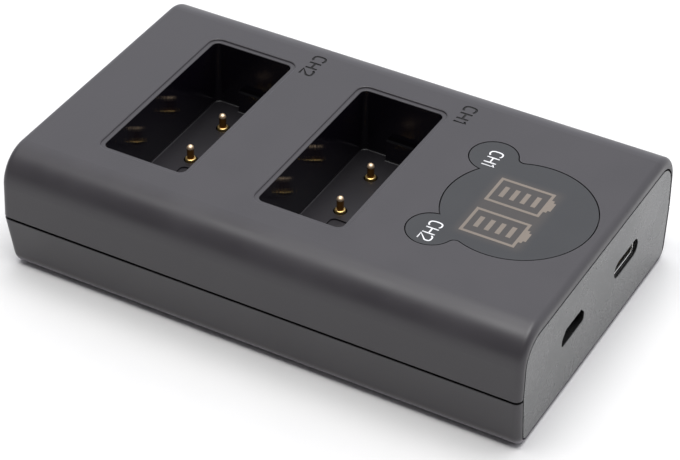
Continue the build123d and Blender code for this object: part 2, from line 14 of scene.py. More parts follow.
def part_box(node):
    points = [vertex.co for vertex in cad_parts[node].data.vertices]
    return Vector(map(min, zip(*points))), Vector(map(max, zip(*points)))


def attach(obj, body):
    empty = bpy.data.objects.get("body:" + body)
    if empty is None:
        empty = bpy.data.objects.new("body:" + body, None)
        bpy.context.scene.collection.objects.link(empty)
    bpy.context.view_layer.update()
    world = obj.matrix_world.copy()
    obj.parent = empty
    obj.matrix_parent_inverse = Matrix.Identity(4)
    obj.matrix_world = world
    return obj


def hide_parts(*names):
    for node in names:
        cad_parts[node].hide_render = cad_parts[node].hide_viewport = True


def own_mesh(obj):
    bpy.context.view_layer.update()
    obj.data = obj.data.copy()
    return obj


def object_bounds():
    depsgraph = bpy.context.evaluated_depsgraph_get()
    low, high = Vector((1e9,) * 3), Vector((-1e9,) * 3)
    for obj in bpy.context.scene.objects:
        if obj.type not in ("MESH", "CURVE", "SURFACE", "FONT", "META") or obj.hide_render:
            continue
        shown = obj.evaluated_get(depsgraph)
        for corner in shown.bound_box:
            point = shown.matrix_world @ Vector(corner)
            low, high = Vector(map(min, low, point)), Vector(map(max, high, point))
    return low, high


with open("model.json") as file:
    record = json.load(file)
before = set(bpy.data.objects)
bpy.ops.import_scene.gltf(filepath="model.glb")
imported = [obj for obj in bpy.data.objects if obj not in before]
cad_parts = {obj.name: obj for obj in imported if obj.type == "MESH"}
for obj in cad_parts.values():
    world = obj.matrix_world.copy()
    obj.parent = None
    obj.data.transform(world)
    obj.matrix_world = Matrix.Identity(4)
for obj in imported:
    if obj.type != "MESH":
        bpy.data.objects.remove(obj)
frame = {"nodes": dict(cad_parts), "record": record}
CAD_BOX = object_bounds()

LOG = logging.getLogger("charger")
MM = 0.001
CASE_BODY = "case"
CONTACTS = range(1, 5)

Colour = tuple[float, float, float]
Point = tuple[float, float, float]
Feed = Union[float, Sequence[float], bpy.types.NodeSocket]
Sockets = tuple[bpy.types.NodeSocket, bpy.types.NodeSocket, bpy.types.NodeSocket]


class MathStep(Enum):
    """Arithmetic that a finish asks of a Math node."""

    ADD = "ADD"
    SUBTRACT = "SUBTRACT"
    MULTIPLY = "MULTIPLY"
    MAXIMUM = "MAXIMUM"
    ABSOLUTE = "ABSOLUTE"
    LESS_THAN = "LESS_THAN"


class SocketKind(Enum):
    """Kinds of socket on the shared node groups."""

    VALUE = "NodeSocketFloat"


class Graph:
    """Adds nodes to one node tree and joins them."""

    def __init__(self, tree: bpy.types.NodeTree) -> None:
        """Keeps the tree that the nodes go into."""
        self.tree = tree

    def node(self, kind: str, **settings: object) -> bpy.types.Node:
        """Adds a node.

        Args:
            kind: Type of the node, without Blender's ShaderNode prefix.
            settings: Properties of the node.

        Returns:
            The new node.
        """
        made = self.tree.nodes.new("ShaderNode" + kind)
        for name, value in settings.items():
            setattr(made, name, value)
        return made

    def feed(self, socket: bpy.types.NodeSocket, value: Feed) -> None:
        """Sets a socket to a constant, or links another socket to it."""
        if isinstance(value, bpy.types.NodeSocket):
            self.tree.links.new(value, socket)
        else:
            socket.default_value = value

    def math(self, step: MathStep, first: Feed, second: Feed = 0.0) -> bpy.types.NodeSocket:
        """Adds a Math node.

        Args:
            step: The arithmetic to do.
            first: Left value.
            second: Right value, where the step takes one.

        Returns:
            The result's socket.
        """
        made = self.node("Math", operation=step.value)
        self.feed(made.inputs[0], first)
        self.feed(made.inputs[1], second)
        return made.outputs[0]

    def ramp(
        self, value: Feed, start: Feed, end: Feed, low: Feed = 0.0, high: Feed = 1.0
    ) -> bpy.types.NodeSocket:
        """Maps a value smoothly from one range to another.

        Args:
            value: The value to map.
            start: Value that gives low.
            end: Value that gives high.
            low: Result at start and before it.
            high: Result at end and past it.

        Returns:
            The result's socket.
        """
        made = self.node("MapRange", interpolation_type="SMOOTHSTEP", clamp=True)
        names = ("Value", "From Min", "From Max", "To Min", "To Max")
        for name, given in zip(names, (value, start, end, low, high)):
            self.feed(made.inputs[name], given)
        return made.outputs["Result"]

    def tint(self, share: Feed, first: Feed, second: Feed) -> bpy.types.NodeSocket:
        """Mixes two colours.

        Args:
            share: Share of the second colour.
            first: Colour at a share of 0.
            second: Colour at a share of 1.

        Returns:
            The mixed colour's socket.
        """
        made = self.node("Mix", data_type="RGBA")
        self.feed(made.inputs["Factor"], share)
        for socket, given in ((made.inputs[6], first), (made.inputs[7], second)):
            self.feed(socket, given if isinstance(given, bpy.types.NodeSocket) else (*given, 1.0))
        return made.outputs[2]

    def place(self) -> Sockets:
        """Adds the surface point's X, Y and Z in the part's frame, in metres."""
        coordinates = self.node("TexCoord")
        split = self.node("SeparateXYZ")
        self.tree.links.new(coordinates.outputs["Object"], split.inputs[0])
        return split.outputs[0], split.outputs[1], split.outputs[2]

    def band(self, value: Feed, middle: float, half: float, soft: float) -> bpy.types.NodeSocket:
        """Marks where a value lies near a middle.

        Args:
            value: The value to test.
            middle: Middle of the band.
            half: Half the band's width.
            soft: Width over which the mark fades.

        Returns:
            A mask that is 1 in the band and 0 outside it.
        """
        away = self.math(MathStep.ABSOLUTE, self.math(MathStep.SUBTRACT, value, middle))
        return self.ramp(away, half - soft / 2, half + soft / 2, 1.0, 0.0)

    def noise(self, where: bpy.types.NodeSocket, scale: Feed, detail: float) -> bpy.types.NodeSocket:
        """Adds soft noise.

        Args:
            where: Coordinates of the noise.
            scale: Its scale.
            detail: How many finer layers it has.

        Returns:
            The noise's socket, from 0 to 1.
        """
        made = self.node("TexNoise")
        for name, given in (("Vector", where), ("Scale", scale), ("Detail", detail)):
            self.feed(made.inputs[name], given)
        return made.outputs["Fac"]

    def bump(self, height: Feed, depth: float) -> bpy.types.NodeSocket:
        """Adds a Bump node of a given depth, and gives its normal."""
        made = self.node("Bump")
        self.feed(made.inputs["Distance"], depth)
        self.feed(made.inputs["Height"], height)
        return made.outputs[0]


class Effect:
    """A shader node group that several finishes share."""

    name: ClassVar[str]
    inputs: ClassVar[dict[str, float]]
    outputs: ClassVar[Sequence[str]]

    def wire(self, graph: Graph, given: bpy.types.Node, wanted: bpy.types.Node) -> None:
        """Fills the group.

        Args:
            graph: The group's own tree.
            given: The group's input node.
            wanted: The group's output node.
        """
        raise NotImplementedError

    def tree(self) -> bpy.types.NodeTree:
        """Gives the group's tree, which is made on first use."""
        found = bpy.data.node_groups.get(self.name)
        if found:
            return found
        made = bpy.data.node_groups.new(self.name, "ShaderNodeTree")
        for name, value in self.inputs.items():
            socket = made.interface.new_socket(
                name, in_out="INPUT", socket_type=SocketKind.VALUE.value
            )
            socket.default_value = value
        for name in self.outputs:
            made.interface.new_socket(name, in_out="OUTPUT", socket_type=SocketKind.VALUE.value)
        self.wire(Graph(made), made.nodes.new("NodeGroupInput"), made.nodes.new("NodeGroupOutput"))
        return made

    def put(self, graph: Graph, **values: float) -> bpy.types.bpy_prop_collection:
        """Places the group in a material.

        Args:
            graph: The material's tree.
            values: The group's inputs, by name with underscores for spaces.

        Returns:
            The placed group's output sockets.
        """
        made = graph.node("Group", node_tree=self.tree())
        for name, value in values.items():
            made.inputs[name.replace("_", " ").title()].default_value = value
        return made.outputs


class MouldGrain(Effect):
    """Fine spark-eroded grain of a moulding, with the slow cloudiness of its colour."""

    name = "mould_grain"
    inputs = {"Grain": 4000.0, "Cloud": 120.0}
    outputs = ("Height", "Tone")

    def wire(self, graph: Graph, given: bpy.types.Node, wanted: bpy.types.Node) -> None:
        """Fills the group: see Effect.wire."""
        where = graph.node("TexCoord").outputs["Object"]
        for scale, detail, result in (("Grain", 3.0, "Height"), ("Cloud", 4.0, "Tone")):
            graph.feed(wanted.inputs[result], graph.noise(where, given.outputs[scale], detail))


class Flecks(Effect):
    """Scattered small round flecks, such as painted glints in a moulding or dust on it."""

    name = "flecks"
    inputs = {"Scale": 800.0, "Size": 0.25, "Share": 0.2}
    outputs = ("Mask",)

    def wire(self, graph: Graph, given: bpy.types.Node, wanted: bpy.types.Node) -> None:
        """Fills the group: see Effect.wire."""
        cells = graph.node("TexVoronoi")
        graph.feed(cells.inputs["Vector"], graph.node("TexCoord").outputs["Object"])
        graph.feed(cells.inputs["Scale"], given.outputs["Scale"])
        split = graph.node("SeparateColor")
        graph.feed(split.inputs[0], cells.outputs["Color"])
        kept = graph.math(MathStep.LESS_THAN, split.outputs[0], given.outputs["Share"])
        size = graph.math(MathStep.MULTIPLY, given.outputs["Size"], split.outputs[1])
        spots = graph.ramp(cells.outputs["Distance"], 0.0, size, 1.0, 0.0)
        graph.feed(wanted.inputs["Mask"], graph.math(MathStep.MULTIPLY, spots, kept))


class EdgeRub(Effect):
    """Edges that hands and the mould have rubbed a little."""

    name = "edge_rub"
    inputs = {"Radius": 0.0003}
    outputs = ("Mask",)

    FLAT: ClassVar[float] = 0.99
    SHARP: ClassVar[float] = 0.75

    def wire(self, graph: Graph, given: bpy.types.Node, wanted: bpy.types.Node) -> None:
        """Fills the group: see Effect.wire."""
        bevel = graph.node("Bevel", samples=4)
        graph.feed(bevel.inputs["Radius"], given.outputs["Radius"])
        agree = graph.node("VectorMath", operation="DOT_PRODUCT")
        graph.feed(agree.inputs[0], bevel.outputs[0])
        graph.feed(agree.inputs[1], graph.node("NewGeometry").outputs["Normal"])
        graph.feed(wanted.inputs["Mask"], graph.ramp(agree.outputs["Value"], self.FLAT, self.SHARP))


class DrawLines(Effect):
    """Fine lines that drawing or turning leaves on metal."""

    name = "draw_lines"
    inputs = {"Along": 200.0, "Across": 9000.0}
    outputs = ("Height", "Tone")

    def wire(self, graph: Graph, given: bpy.types.Node, wanted: bpy.types.Node) -> None:
        """Fills the group: see Effect.wire."""
        stretch = graph.node("CombineXYZ")
        for axis, scale in enumerate(("Along", "Along", "Across")):
            graph.feed(stretch.inputs[axis], given.outputs[scale])
        scaled = graph.node("VectorMath", operation="MULTIPLY")
        graph.feed(scaled.inputs[0], graph.node("TexCoord").outputs["Object"])
        graph.feed(scaled.inputs[1], stretch.outputs[0])
        for detail, result in ((2.0, "Height"), (6.0, "Tone")):
            graph.feed(wanted.inputs[result], graph.noise(scaled.outputs[0], 1.0, detail))


def bay_boxes() -> list[tuple[Vector, Vector]]:
    """Gives the lowest and highest corner of the room in each battery bay, from the closed end."""
    openings = frame["record"]["physics"]["openings"]
    return [tuple(Vector(corner) for corner in opening["box_m"]) for opening in openings]


def shaded(shade: Colour, amount: float) -> Colour:
    """Gives a colour made lighter or darker by a factor."""
    return tuple(min(1.0, part * amount) for part in shade)


class Finish:
    """A finish that makes one material, shared by all the pieces that take it."""

    name: str

    def wire(self, graph: Graph, shader: bpy.types.Node) -> None:
        """Joins the finish's nodes to its shader.

        Args:
            graph: The material's tree.
            shader: The material's Principled BSDF.
        """
        raise NotImplementedError

    def material(self) -> bpy.types.Material:
        """Gives the material, which is made on first use."""
        found = bpy.data.materials.get(self.name)
        if found:
            return found
        made = bpy.data.materials.new(self.name)
        made.use_nodes = True
        self.wire(Graph(made.node_tree), made.node_tree.nodes["Principled BSDF"])
        return made


@dataclass(frozen=True)
class Moulding(Finish):
    """Moulded plastic with grain, cloudy colour, rubbed edges, painted glints and dust."""

    name: str
    shade: Colour
    roughness: float
    grain: float = 4200.0
    grain_depth: float = 0.006 * MM
    cloud: float = 90.0
    unevenness: float = 0.05
    wobble: float = 0.06
    rub: float = 0.2
    rub_radius: float = 0.25 * MM
    rub_light: float = 2.2
    glint_share: float = 0.0
    glint_scale: float = 3200.0
    glint_size: float = 0.75
    glint_light: float = 2.5
    dust_share: float = 0.004
    dust_scale: float = 260.0
    dust_size: float = 0.07

    DUST: ClassVar[Colour] = (0.42, 0.40, 0.37)
    TONE_RANGE: ClassVar[tuple[float, float]] = (0.3, 0.7)
    GLOSS_RANGE: ClassVar[tuple[float, float]] = (0.25, 0.75)

    def wire(self, graph: Graph, shader: bpy.types.Node) -> None:
        """Joins the finish's nodes to its shader: see Finish.wire."""
        colour, roughness, height = self.surface(graph)
        graph.feed(shader.inputs["Base Color"], colour)
        graph.feed(shader.inputs["Roughness"], roughness)
        graph.feed(shader.inputs["Normal"], graph.bump(height, self.grain_depth))

    def surface(self, graph: Graph) -> Sockets:
        """Makes the plain moulding.

        Args:
            graph: The material's tree.

        Returns:
            Sockets of its colour, roughness and grain height.
        """
        grain = MouldGrain().put(graph, grain=self.grain, cloud=self.cloud)
        dark = shaded(self.shade, 1 - self.unevenness)
        light = shaded(self.shade, 1 + self.unevenness)
        colour = graph.tint(graph.ramp(grain["Tone"], *self.TONE_RANGE), dark, light)
        rubbed = EdgeRub().put(graph, radius=self.rub_radius)["Mask"]
        rubbed = graph.math(MathStep.MULTIPLY, rubbed, self.rub)
        colour = graph.tint(rubbed, colour, shaded(self.shade, self.rub_light))
        # Painted glints: lighter flecks in the colour stand in for sparkle of light on the surface.
        if self.glint_share:
            glints = Flecks().put(
                graph, scale=self.glint_scale, size=self.glint_size, share=self.glint_share
            )
            colour = graph.tint(glints["Mask"], colour, shaded(self.shade, self.glint_light))
        if self.dust_share:
            dust = Flecks().put(
                graph, scale=self.dust_scale, size=self.dust_size, share=self.dust_share
            )
            colour = graph.tint(dust["Mask"], colour, self.DUST)
        roughness = graph.ramp(
            grain["Tone"], *self.GLOSS_RANGE, self.roughness - self.wobble, self.roughness + self.wobble
        )
        return colour, roughness, grain["Height"]


@dataclass(frozen=True)
class CaseMoulding(Moulding):
    """The case's plastic.

    It is satin outside, lightened along its foot as painted light from the floor, darkened in the seam as
    painted shade, and polished in the bays, whose walls, ledges and floor carry painted shade.
    """

    mask_soft: float = 0.1 * MM
    # Painted shade: the bays' walls, ledges and floor are coloured far darker than the case outside, and
    # the floor darker still towards the far end.
    wall_painted_shade: Colour = (0.0045, 0.0034, 0.0066)
    ledge_painted_shade: Colour = (0.0008, 0.0006, 0.001)
    wall_roughness: float = 0.045
    far_roughness: float = 0.22
    far_soft: float = 0.3 * MM
    upright_slope: float = 0.3
    level_slope: float = 0.6
    floor_shade: Colour = (0.0158, 0.0132, 0.017)
    far_floor_painted_shade: Colour = (0.0045, 0.0036, 0.0054)
    floor_roughness: float = 0.45
    bay_margin: float = 2.0 * MM
    rim_drop: float = 0.4 * MM
    floor_depth: float = 13.0 * MM
    floor_soft: float = 0.3 * MM
    polish_round: float = 7000.0
    polish_upright: float = 60.0
    polish_height: float = 2.6
    # Painted light: the case is lightened towards its foot to stand in for light reflected up from the
    # floor.
    painted_foot_light_top: float = 2.6 * MM
    painted_foot_light_end: float = 0.4 * MM
    painted_foot_light: float = 6.0
    # Painted shade: a band round the seam between the shells is darkened.
    seam: float = 10.6 * MM
    seam_half: float = 0.25 * MM
    seam_soft: float = 0.04 * MM
    seam_painted_shade: Colour = (0.004, 0.0035, 0.004)

    def surface(self, graph: Graph) -> Sockets:
        """Makes the moulding with its polished bays, painted light on its foot and painted shade in its
        seam and bays: see Moulding.surface.
        """
        colour, roughness, height = super().surface(graph)
        x, y, z = graph.place()
        # Painted light: lightens the case towards its foot, in place of light from the floor.
        painted_foot_light_mask = graph.ramp(z, self.painted_foot_light_top, self.painted_foot_light_end)
        colour = graph.tint(painted_foot_light_mask, colour, shaded(self.shade, self.painted_foot_light))
        # Painted shade: darkens the band round the seam between the shells.
        seam = graph.band(z, self.seam, self.seam_half, self.seam_soft)
        colour = graph.tint(seam, colour, self.seam_painted_shade)
        top = CAD_BOX[1].z
        inside: Feed = 0.0
        bays = bay_boxes()
        for low, high in bays:
            middle = (low + high) / 2
            half = (high - low) / 2
            across = graph.band(x, middle.x, half.x + self.bay_margin, self.mask_soft)
            along = graph.band(y, middle.y, half.y + self.bay_margin, self.mask_soft)
            inside = graph.math(MathStep.MAXIMUM, inside, graph.math(MathStep.MULTIPLY, across, along))
        near_end = min(low.y for low, _ in bays)
        far_end = max(high.y for _, high in bays)
        rim = top - self.rim_drop
        below = graph.ramp(z, rim, rim - self.mask_soft)
        inside = graph.math(MathStep.MULTIPLY, inside, below)
        floor_top = top - self.floor_depth
        floor = graph.ramp(z, floor_top + 2 * self.floor_soft, floor_top + self.floor_soft)
        # Painted shade: the bay floor darkens from the near end to the far end.
        deep = graph.tint(graph.ramp(y, near_end, far_end), self.floor_shade, self.far_floor_painted_shade)
        upright = self.upright(graph)
        # Painted shade: near-black walls and ledges and a dark floor inside the bays.
        bay = graph.tint(floor, graph.tint(upright, self.ledge_painted_shade, self.wall_painted_shade), deep)
        far = graph.math(MathStep.MULTIPLY, graph.ramp(y, far_end, far_end + self.far_soft), upright)
        wall_roughness = graph.ramp(far, 0.0, 1.0, self.wall_roughness, self.far_roughness)
        bay_roughness = graph.ramp(floor, 0.0, 1.0, wall_roughness, self.floor_roughness)
        colour = graph.tint(inside, colour, bay)
        keep = graph.math(MathStep.SUBTRACT, 1.0, inside)
        roughness = graph.math(
            MathStep.ADD,
            graph.math(MathStep.MULTIPLY, roughness, keep),
            graph.math(MathStep.MULTIPLY, bay_roughness, inside),
        )
        walls = graph.math(MathStep.MULTIPLY, inside, graph.math(MathStep.SUBTRACT, 1.0, floor))
        polish = DrawLines().put(graph, along=self.polish_round, across=self.polish_upright)["Height"]
        polish = graph.math(MathStep.MULTIPLY, polish, self.polish_height)
        height = graph.math(
            MathStep.ADD,
            graph.math(MathStep.MULTIPLY, height, keep),
            graph.math(MathStep.MULTIPLY, polish, walls),
        )
        return colour, roughness, height

    def upright(self, graph: Graph) -> bpy.types.NodeSocket:
        """Marks faces that stand upright."""
        split = graph.node("SeparateXYZ")
        graph.feed(split.inputs[0], graph.node("NewGeometry").outputs["Normal"])
        return graph.ramp(split.outputs[2], self.level_slope, self.upright_slope)


@dataclass(frozen=True)
class PanelMoulding(Moulding):
    """The end panel's plastic, textured on its face, with painted shade making its walls and slots
    near-black.
    """

    face_depth: float = 0.1 * MM
    face_soft: float = 0.05 * MM
    wall_painted_shade: Colour = (0.012, 0.012, 0.0125)

    def surface(self, graph: Graph) -> Sockets:
        """Makes the moulding with painted shade on its walls: see Moulding.surface."""
        colour, roughness, height = super().surface(graph)
        x, _, _ = graph.place()
        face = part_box("end_panel")[1].x - self.face_depth
        # Painted shade: the panel's walls and slot walls behind its face are coloured near-black.
        walls = graph.ramp(x, face, face - self.face_soft)
        return graph.tint(walls, colour, self.wall_painted_shade), roughness, height


@dataclass(frozen=True)
class SmokedWindow(Moulding):
    """Smoked acrylic with a satin face, faintly warm where the display lies under it."""

    display_middle: tuple[float, float] = (32.8 * MM, -1.2 * MM)
    display_half: tuple[float, float] = (5.9 * MM, 8.7 * MM)
    display_soft: float = 2.2 * MM
    display_shade: Colour = (0.045, 0.0395, 0.037)

    def surface(self, graph: Graph) -> Sockets:
        """Makes the window with the display's tint: see Moulding.surface."""
        colour, roughness, height = super().surface(graph)
        x, y, _ = graph.place()
        across = graph.band(x, self.display_middle[0], self.display_half[0], self.display_soft)
        along = graph.band(y, self.display_middle[1], self.display_half[1], self.display_soft)
        colour = graph.tint(graph.math(MathStep.MULTIPLY, across, along), colour, self.display_shade)
        return colour, roughness, height


@dataclass(frozen=True)
class Plating(Finish):
    """Bright metal with drawn lines, a little tarnish and rubbed edges."""

    name: str
    shade: Colour
    tarnish: Colour
    roughness: float
    line_depth: float = 0.002 * MM
    edge: float = 0.1 * MM
    rub: float = 0.3
    rub_light: float = 1.3

    TONE_RANGE: ClassVar[tuple[float, float]] = (0.4, 0.75)
    GLOSS_RANGE: ClassVar[tuple[float, float]] = (0.3, 0.8)
    DULL: ClassVar[float] = 1.6

    def wire(self, graph: Graph, shader: bpy.types.Node) -> None:
        """Joins the finish's nodes to its shader: see Finish.wire."""
        lines = DrawLines().put(graph)
        rubbed = EdgeRub().put(graph, radius=self.edge)["Mask"]
        colour = self.tone(graph, lines["Tone"])
        rubbed = graph.math(MathStep.MULTIPLY, rubbed, self.rub)
        colour = graph.tint(rubbed, colour, shaded(self.shade, self.rub_light))
        graph.feed(shader.inputs["Base Color"], colour)
        graph.feed(shader.inputs["Metallic"], 1.0)
        graph.feed(shader.inputs["Roughness"], self.gloss(graph, lines["Tone"]))
        graph.feed(shader.inputs["Normal"], graph.bump(lines["Height"], self.line_depth))

    def gloss(self, graph: Graph, lines: bpy.types.NodeSocket) -> bpy.types.NodeSocket:
        """Makes the plating's roughness.

        Args:
            graph: The material's tree.
            lines: Tone of the drawn lines.

        Returns:
            The roughness's socket.
        """
        return graph.ramp(lines, *self.GLOSS_RANGE, self.roughness, self.roughness * self.DULL)

    def tone(self, graph: Graph, lines: bpy.types.NodeSocket) -> bpy.types.NodeSocket:
        """Makes the plating's colour.

        Args:
            graph: The material's tree.
            lines: Tone of the drawn lines.

        Returns:
            The colour's socket.
        """
        return graph.tint(graph.ramp(lines, *self.TONE_RANGE), self.shade, self.tarnish)


@dataclass(frozen=True)
class PinPlating(Plating):
    """Contact gold, with painted shade deepening the shaft of a pin for the dark bay it reflects, and
    rougher at its tip.
    """

    shaft_painted_shade: Colour = (0.64, 0.3, 0.07)
    shaft_top: float = 12.95 * MM
    shaft_soft: float = 0.25 * MM
    tip_roughness: float = 0.55

    def shaft(self, graph: Graph) -> bpy.types.NodeSocket:
        """Marks the shaft below the tip."""
        return graph.ramp(graph.place()[2], self.shaft_top, self.shaft_top - self.shaft_soft)

    def gloss(self, graph: Graph, lines: bpy.types.NodeSocket) -> bpy.types.NodeSocket:
        """Makes the roughness with its worn tip: see Plating.gloss."""
        return graph.ramp(self.shaft(graph), 0.0, 1.0, self.tip_roughness, super().gloss(graph, lines))

    def tone(self, graph: Graph, lines: bpy.types.NodeSocket) -> bpy.types.NodeSocket:
        """Makes the plating with painted shade on its shaft: see Plating.tone."""
        # Painted shade: the shaft below the tip is coloured a deep dark gold in place of the dark bay
        # that it reflects.
        return graph.tint(self.shaft(graph), super().tone(graph, lines), self.shaft_painted_shade)


@dataclass(frozen=True)
class SolderMask(Finish):
    """Green solder mask over copper tracks on glass laminate."""

    name: str = "board_mask"
    shade: Colour = (0.012, 0.105, 0.04)
    track_shade: Colour = (0.03, 0.2, 0.075)
    track_scale: float = 420.0
    track_width: float = 0.09
    track_flat: float = 0.6
    track_height: float = 0.02 * MM
    grain: float = 2600.0
    cloud: float = 200.0
    shadow: float = 0.6
    shadow_share: float = 0.3
    roughness: tuple[float, float] = (0.25, 0.4)

    TONE_RANGE: ClassVar[tuple[float, float]] = (0.3, 0.8)
    GLOSS_RANGE: ClassVar[tuple[float, float]] = (0.2, 0.8)

    def wire(self, graph: Graph, shader: bpy.types.Node) -> None:
        """Joins the finish's nodes to its shader: see Finish.wire."""
        grain = MouldGrain().put(graph, grain=self.grain, cloud=self.cloud)
        cells = graph.node("TexVoronoi", feature="DISTANCE_TO_EDGE", voronoi_dimensions="2D")
        graph.feed(cells.inputs["Vector"], graph.node("TexCoord").outputs["Object"])
        graph.feed(cells.inputs["Scale"], self.track_scale)
        tracks = graph.ramp(
            cells.outputs["Distance"], self.track_width, self.track_width * self.track_flat
        )
        colour = graph.tint(tracks, self.shade, self.track_shade)
        cloudy = graph.ramp(grain["Tone"], *self.TONE_RANGE, 0.0, self.shadow_share)
        colour = graph.tint(cloudy, colour, shaded(self.shade, self.shadow))
        height = graph.math(MathStep.ADD, tracks, grain["Height"])
        roughness = graph.ramp(grain["Tone"], *self.GLOSS_RANGE, *self.roughness)
        graph.feed(shader.inputs["Base Color"], colour)
        graph.feed(shader.inputs["Roughness"], roughness)
        graph.feed(shader.inputs["Normal"], graph.bump(height, self.track_height))


class Finishes:
    """The finishes of this charger."""

    CASE = CaseMoulding("case_plastic", (0.041, 0.0376, 0.0424), 0.4)
    # Painted shade: the cut strokes of the channel marks are coloured near-black.
    MARK_PAINTED_SHADE = Moulding("mark_groove_painted_shade", (0.007, 0.007, 0.0075), 0.65, rub=0.0, dust_share=0.0)
    # The panel carries painted glints: lighter flecks in its colour.
    PANEL = PanelMoulding(
        "panel_plastic", (0.083, 0.084, 0.085), 0.27, grain=2400.0, grain_depth=0.012 * MM,
        unevenness=0.07, glint_share=0.35, glint_light=2.2, dust_share=0.0,
    )
    WINDOW = SmokedWindow(
        "smoked_acrylic", (0.0238, 0.0246, 0.0272), 0.36, grain=5200.0, grain_depth=0.003 * MM, rub=0.1
    )
    LABEL = Moulding(
        "label_ink", (0.82, 0.82, 0.84), 0.5, unevenness=0.04, rub=0.0, dust_share=0.0
    )
    SYMBOL = Moulding(
        "symbol_segment", (0.19, 0.158, 0.13), 0.5, unevenness=0.06, rub=0.0, dust_share=0.0
    )
    SOCKET_PLASTIC = Moulding("socket_plastic", (0.012, 0.012, 0.013), 0.38, grain=6000.0)
    CHIP = Moulding("chip_resin", (0.02, 0.02, 0.022), 0.62, grain=5200.0, grain_depth=0.012 * MM)
    LIGHT_BOX = Moulding("reflector_plastic", (0.72, 0.71, 0.68), 0.42, unevenness=0.03)
    FERRITE = Moulding(
        "ferrite", (0.06, 0.058, 0.057), 0.7, grain=3600.0, grain_depth=0.03 * MM, unevenness=0.2
    )
    GOLD = Plating(
        "contact_gold", (1.0, 0.8, 0.7), (1.0, 0.73, 0.57), 0.2, line_depth=0.0003 * MM
    )
    PIN = PinPlating(
        "pin_gold", (1.0, 0.79, 0.57), (1.0, 0.74, 0.5), 0.12, line_depth=0.0003 * MM
    )
    STEEL = Plating("socket_nickel", (0.8, 0.79, 0.77), (0.62, 0.6, 0.57), 0.18)
    TIN = Plating("tinned_pin", (0.7, 0.69, 0.67), (0.55, 0.54, 0.52), 0.3)
    ZINC = Plating("black_zinc", (0.09, 0.09, 0.095), (0.05, 0.05, 0.055), 0.36)
    SPRING = Plating("spring_wire", (0.72, 0.62, 0.42), (0.55, 0.45, 0.28), 0.25)
    CAN = Plating("can_aluminium", (0.82, 0.82, 0.83), (0.7, 0.7, 0.71), 0.28)
    COPPER = Plating("winding_copper", (0.72, 0.31, 0.14), (0.5, 0.18, 0.08), 0.25)
    MASK = SolderMask()


